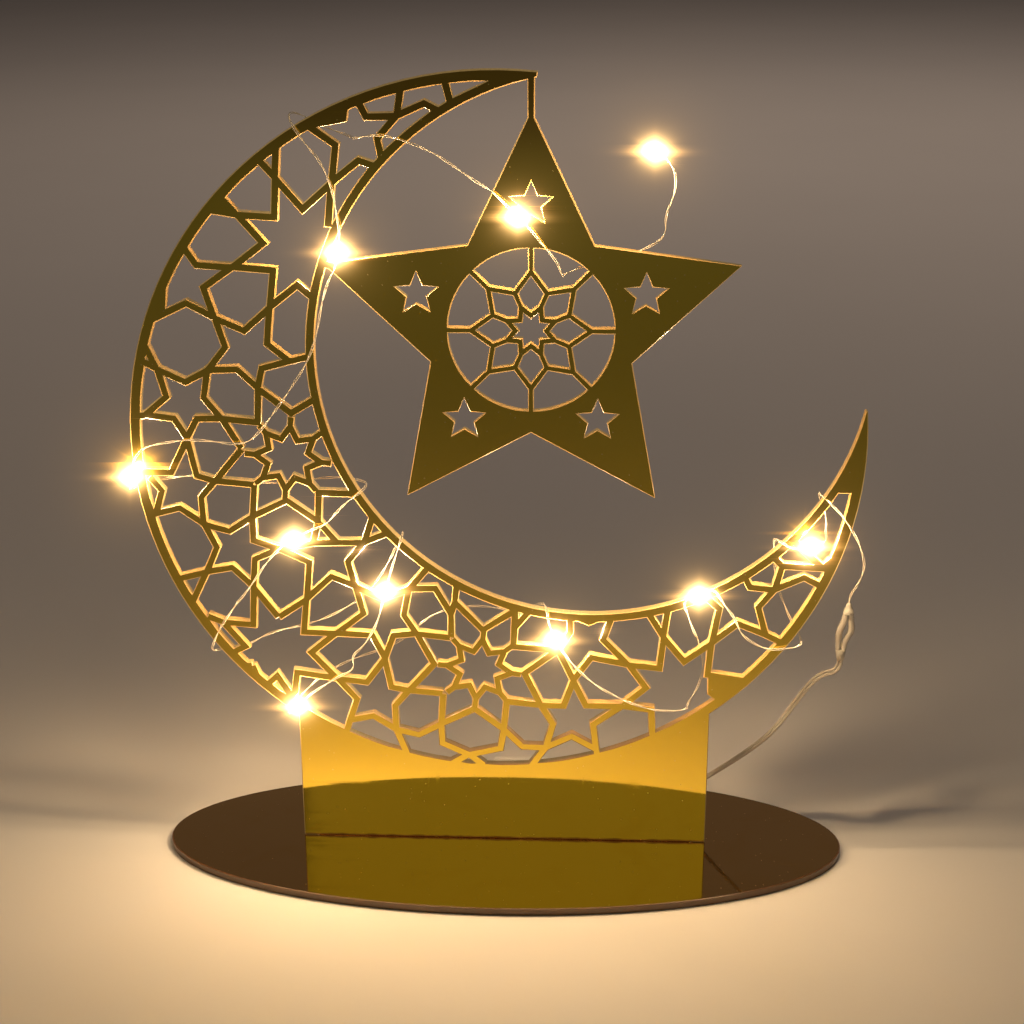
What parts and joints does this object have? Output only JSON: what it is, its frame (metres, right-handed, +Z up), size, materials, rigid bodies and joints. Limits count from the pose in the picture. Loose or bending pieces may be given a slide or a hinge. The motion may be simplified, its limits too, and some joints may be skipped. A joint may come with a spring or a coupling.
{
  "type": "crescent table ornament",
  "caption": "Gold mirror crescent pierced with a star lattice and holding a star, standing in an oval base, wound with a string of warm lights on fine wire with a battery box behind.",
  "frame": {"origin": "centre of the base's underside, on the surface that it stands on", "axes": "+Z up, +X to the viewer's right along the upright sheet, +Y away from the viewer, so the lit front faces -Y"},
  "size_m": [0.1934, 0.0728, 0.2125],
  "materials": {
    "gold_mirror_sheet": "gold mirror film on clear acrylic sheet",
    "clear_resin": "clear lacquer drop, lit warm white",
    "led_chip": "phosphor-coated chip",
    "bright_wire": "lacquered, drawn",
    "clear_cable": "clear insulation over bright strands",
    "clear_sleeve": "clear shrunk sleeve",
    "box_plastic": "fine matt moulding",
    "cell_steel": "nickel-plated steel can",
    "contact_steel": "nickel-plated spring strip",
    "switch_plastic": "black moulding"
  },
  "bodies": {
    "base": {"base_plate": "gold_mirror_sheet"},
    "ornament": {"ornament_panel": "gold_mirror_sheet", "wire_feed": "bright_wire", "wire_10_09": "bright_wire", "wire_09_08": "bright_wire", "wire_08_07": "bright_wire", "wire_07_06": "bright_wire", "wire_06_05": "bright_wire", "wire_05_04": "bright_wire", "wire_04_03": "bright_wire", "wire_03_02": "bright_wire", "wire_02_01": "bright_wire", "led_bead_01": "clear_resin", "led_bead_02": "clear_resin", "led_bead_03": "clear_resin", "led_bead_04": "clear_resin", "led_bead_05": "clear_resin", "led_bead_06": "clear_resin", "led_bead_07": "clear_resin", "led_bead_08": "clear_resin", "led_bead_09": "clear_resin", "led_bead_10": "clear_resin", "led_chip_01": "led_chip", "led_chip_02": "led_chip", "led_chip_03": "led_chip", "led_chip_04": "led_chip", "led_chip_05": "led_chip", "led_chip_06": "led_chip", "led_chip_07": "led_chip", "led_chip_08": "led_chip", "led_chip_09": "led_chip", "led_chip_10": "led_chip", "splice_sleeve": "clear_sleeve", "split_sleeve": "clear_sleeve", "core_left": "clear_cable", "core_right": "clear_cable", "lead": "clear_cable", "strain_relief": "clear_sleeve", "battery_case": "box_plastic", "coin_cell_1": "cell_steel", "coin_cell_2": "cell_steel", "bottom_contact": "contact_steel", "side_contact": "contact_steel", "switch_body": "switch_plastic"},
    "cover": {"battery_cover": "box_plastic"},
    "knob": {"switch_knob": "switch_plastic"}
  },
  "joints": [
    {"name": "sheet_lift", "type": "slide", "parent": "base", "child": "ornament", "axis": [0, 0, 1], "range_m": [0, 0.02]},
    {"name": "cover_slide", "type": "slide", "parent": "ornament", "child": "cover", "axis": [-1, 0, 0], "range_m": [0, 0.026]},
    {"name": "switch_slide", "type": "slide", "parent": "ornament", "child": "knob", "axis": [1, 0, 0], "range_m": [0, 0.002]}
  ]
}
